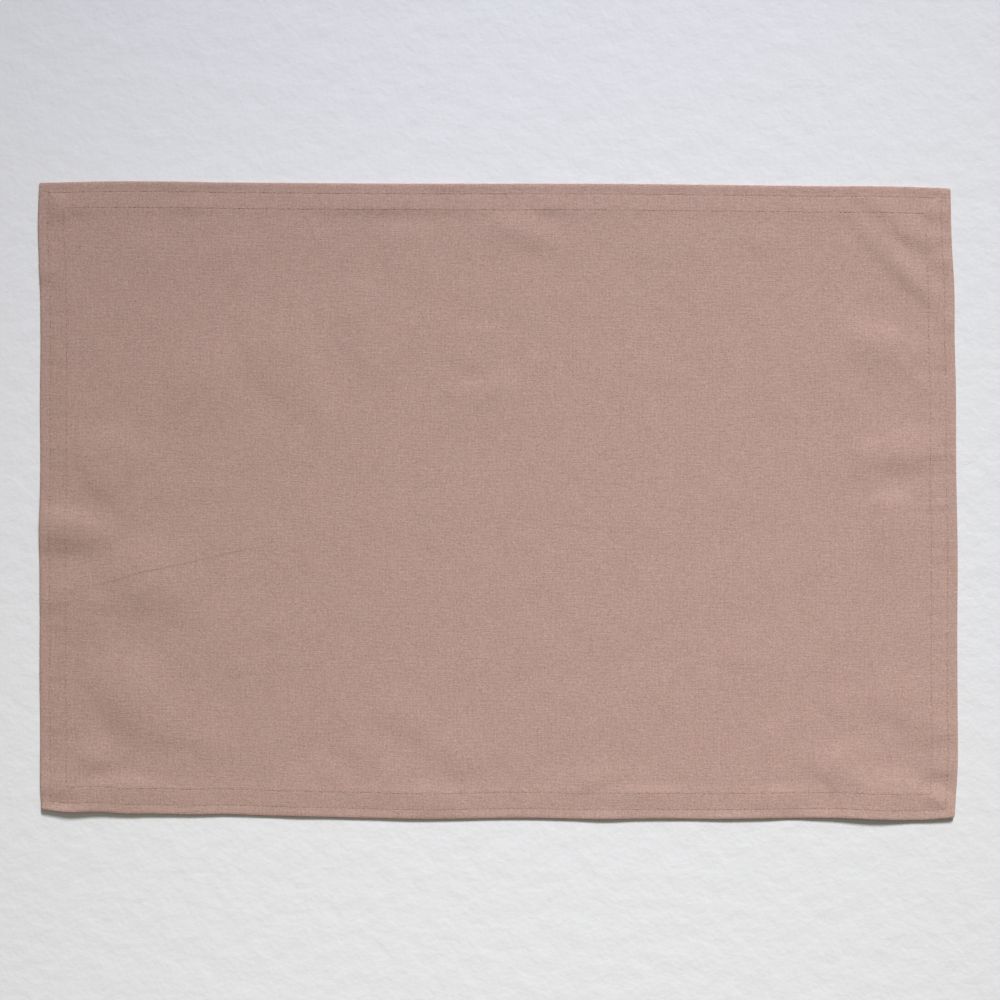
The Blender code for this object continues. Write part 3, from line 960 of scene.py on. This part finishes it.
class PlacematCloth(bpy.types.PropertyGroup):
    """Sizes of the cloth."""

    width: bpy.props.FloatProperty(
        name="Width", description="Length of the long sides", default=0.500, unit="LENGTH"
    )
    depth: bpy.props.FloatProperty(
        name="Depth", description="Length of the short sides", default=0.3465, unit="LENGTH"
    )
    hem_width: bpy.props.FloatProperty(
        name="Hem width", description="From the side to the hem's fold", default=0.0158, unit="LENGTH"
    )


class PlacematSewing(bpy.types.PropertyGroup):
    """Sizes of the stitching."""

    outer_row: bpy.props.FloatProperty(
        name="Outer row", description="From the side to the outer row", default=0.0056, unit="LENGTH"
    )
    inner_row: bpy.props.FloatProperty(
        name="Inner row", description="From the side to the inner row", default=0.0143, unit="LENGTH"
    )
    pitch: bpy.props.FloatProperty(
        name="Stitch length", description="From hole to hole", default=0.0025, unit="LENGTH"
    )
    thread: bpy.props.FloatProperty(
        name="Thread", description="Diameter of the thread", default=0.00028, unit="LENGTH"
    )


class PlacematFinish(bpy.types.PropertyGroup):
    """Colours and weave."""

    cloth_colour: bpy.props.FloatVectorProperty(
        name="Cloth", description="Dye of the cloth", default=(0.4635, 0.3045, 0.2520),
        subtype="COLOR", size=3, min=0.0, max=1.0,
    )
    thread_colour: bpy.props.FloatVectorProperty(
        name="Thread", description="Dye of the sewing thread", default=(0.455, 0.299, 0.2475),
        subtype="COLOR", size=3, min=0.0, max=1.0,
    )
    yarn_pitch: bpy.props.FloatProperty(
        name="Yarn pitch", description="From one yarn to the next", default=0.00048, unit="LENGTH"
    )
    reed_pitch: bpy.props.FloatProperty(
        name="Reed pitch", description="From one mark in the warp to the next", default=0.00200,
        unit="LENGTH",
    )
    pick_pitch: bpy.props.FloatProperty(
        name="Pick pitch", description="From one mark in the weft to the next", default=0.00225,
        unit="LENGTH",
    )


class PlacematStage(bpy.types.PropertyGroup):
    """Floor, camera and light."""

    # painted light and shade on the floor: its colour to the left and to the right
    floor_painted_left: bpy.props.FloatVectorProperty(
        name="Floor, left", description="Colour of the floor to the left",
        default=(0.860, 0.860, 0.860), subtype="COLOR", size=3, min=0.0, max=1.0,
    )
    floor_painted_right: bpy.props.FloatVectorProperty(
        name="Floor, right", description="Colour of the floor to the right",
        default=(0.740, 0.740, 0.740), subtype="COLOR", size=3, min=0.0, max=1.0,
    )
    camera_place: bpy.props.FloatVectorProperty(
        name="Camera", description="Where the camera is", default=(0.00115, 0.0004, 1.0615),
        subtype="XYZ", size=3, unit="LENGTH",
    )
    lens: bpy.props.FloatProperty(
        name="Lens", description="Focal length", default=70.0, min=1.0, unit="CAMERA"
    )
    key_aim: bpy.props.FloatVectorProperty(
        name="Key aim", description="Where the key light points to", default=(0.093, -0.79, 0.0),
        subtype="XYZ", size=3, unit="LENGTH",
    )
    key_height: bpy.props.FloatProperty(
        name="Key height", description="Angle of the key light above the floor",
        default=np.radians(37.0), unit="ROTATION",
    )
    key_turn: bpy.props.FloatProperty(
        name="Key turn", description="Angle of the key light from +Y towards +X",
        default=np.radians(14.0), unit="ROTATION",
    )
    key_distance: bpy.props.FloatProperty(
        name="Key distance", description="From the cloth's middle to the key light", default=3.5,
        unit="LENGTH",
    )
    key_size: bpy.props.FloatProperty(
        name="Key size", description="Side of the key light", default=0.9, unit="LENGTH"
    )
    key_spread: bpy.props.FloatProperty(
        name="Key spread", description="Full angle of the key light's beam",
        default=np.radians(36.6), unit="ROTATION",
    )
    key_power: bpy.props.FloatProperty(
        name="Key power", description="Power of the key light", default=10.1, unit="POWER"
    )
    sky_power: bpy.props.FloatProperty(
        name="Sky power", description="Power of the faint blue light", default=0.5, unit="POWER"
    )
    fill: bpy.props.FloatVectorProperty(
        name="Fill", description="Even light all round", default=(0.235, 0.225, 0.198),
        subtype="COLOR", size=3, min=0.0, max=10.0,
    )


def cloth_sizes(scene):
    """The sizes that every shape function takes, from the panel's settings."""
    cloth, sewing = scene.placemat_cloth, scene.placemat_sewing
    return Sizes(cloth.width, cloth.depth, cloth.hem_width, sewing.outer_row, sewing.inner_row)


# --- operators ---

STITCH_ROWS = ("outer", "inner")
FLOOR_SIZE = 8.0
KEY_COLOUR = (0.965, 0.976, 1.0)
SKY_COLOUR = (0.10, 0.22, 1.0)
SKY_SIZE = 0.6
SKY_PLACE = (0.0, 0.56, 0.32)


class PLACEMAT_OT_sew_rows(bpy.types.Operator):
    """Sew both rows of lockstitch, with the needle thread above and the bobbin thread below"""

    bl_idname = "placemat.sew_rows"
    bl_label = "Sew Rows"

    def execute(self, context):
        scene = context.scene
        sizes = cloth_sizes(scene)
        sewing = scene.placemat_sewing
        material = thread_material(scene.placemat_finish, sewing)
        for name in STITCH_ROWS:
            for under in (False, True):
                row = getattr(sizes, f"{name}_row")
                points, faces, uv = stitches(row, sewing.pitch, sewing.thread, under, sizes)
                face = "under" if under else "upper"
                piece = make_piece(f"stitches_{name}_{face}", points, faces, material, uv)
                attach(piece, "root")
        return {"FINISHED"}


class PLACEMAT_OT_lay_cloth(bpy.types.Operator):
    """Lay the hemmed cloth in its folds, in place of its plain solid"""

    bl_idname = "placemat.lay_cloth"
    bl_label = "Lay Cloth"

    def execute(self, context):
        scene = context.scene
        sizes = cloth_sizes(scene)
        points, faces, uv = cloth_shape(sizes, scene.placemat_sewing.pitch)
        material = cloth_material(scene.placemat_finish, scene.placemat_sewing, sizes)
        cloth = make_piece("cloth", points, faces, material, uv)
        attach(cloth, "root")
        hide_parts(SOLID_NODE)
        return {"FINISHED"}


def soft_light(name, power, size, colour, place, aim):
    """A square area light at a place, pointing to its aim."""
    lamp = bpy.data.lights.new(name, "AREA")
    lamp.energy = power
    lamp.size = size
    lamp.color = colour
    light = bpy.data.objects.new(name, lamp)
    light.location = place
    light.rotation_euler = (Vector(place) - Vector(aim)).to_track_quat("Z", "Y").to_euler()
    bpy.context.scene.collection.objects.link(light)
    return light


class PLACEMAT_OT_set_stage(bpy.types.Operator):
    """Set the floor, the camera straight above and the soft light"""

    bl_idname = "placemat.set_stage"
    bl_label = "Set Stage"

    def execute(self, context):
        scene = context.scene
        stage = scene.placemat_stage
        bpy.ops.mesh.primitive_plane_add(size=FLOOR_SIZE)
        floor = context.object
        floor.name = "stage_floor"
        floor.data.materials.append(floor_material(stage))

        camera = bpy.data.objects.new("camera", bpy.data.cameras.new("camera"))
        camera.data.lens = stage.lens
        camera.location = stage.camera_place
        scene.collection.objects.link(camera)
        scene.camera = camera

        level = np.cos(stage.key_height)
        towards = Vector(
            (level * np.sin(stage.key_turn), level * np.cos(stage.key_turn), np.sin(stage.key_height))
        )
        place = stage.key_distance * towards
        key = soft_light("key", stage.key_power, stage.key_size, KEY_COLOUR, place, stage.key_aim)
        key.data.spread = stage.key_spread
        soft_light("sky", stage.sky_power, SKY_SIZE, SKY_COLOUR, SKY_PLACE, (0.0, 0.0, 0.0))

        world = bpy.data.worlds.new("soft room")
        world.use_nodes = True
        world.node_tree.nodes["Background"].inputs["Color"].default_value = (*stage.fill, 1.0)
        scene.world = world
        scene.view_settings.view_transform = "Standard"
        return {"FINISHED"}


class PLACEMAT_PT_sidebar(bpy.types.Panel):
    """Sizes, colours and buttons of the placemat"""

    bl_label = "Placemat"
    bl_idname = "PLACEMAT_PT_sidebar"
    bl_space_type = "VIEW_3D"
    bl_region_type = "UI"
    bl_category = "Placemat"

    def draw(self, context):
        for name, group in SETTINGS.items():
            box = self.layout.box()
            settings = getattr(context.scene, name)
            for key in group.__annotations__:
                box.prop(settings, key)
        for operator in OPERATORS:
            self.layout.operator(operator.bl_idname)


SETTINGS = {
    "placemat_cloth": PlacematCloth,
    "placemat_sewing": PlacematSewing,
    "placemat_finish": PlacematFinish,
    "placemat_stage": PlacematStage,
}
OPERATORS = (PLACEMAT_OT_sew_rows, PLACEMAT_OT_lay_cloth, PLACEMAT_OT_set_stage)
CLASSES = (*SETTINGS.values(), *OPERATORS, PLACEMAT_PT_sidebar)


def register():
    for item in CLASSES:
        bpy.utils.register_class(item)
    for name, group in SETTINGS.items():
        setattr(bpy.types.Scene, name, bpy.props.PointerProperty(type=group))


def unregister():
    for name in SETTINGS:
        delattr(bpy.types.Scene, name)
    for item in reversed(CLASSES):
        bpy.utils.unregister_class(item)


def main():
    """Registers the classes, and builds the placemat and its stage."""
    register()
    bpy.ops.placemat.sew_rows()
    bpy.ops.placemat.lay_cloth()
    bpy.ops.placemat.set_stage()


if __name__ == "__main__":
    main()
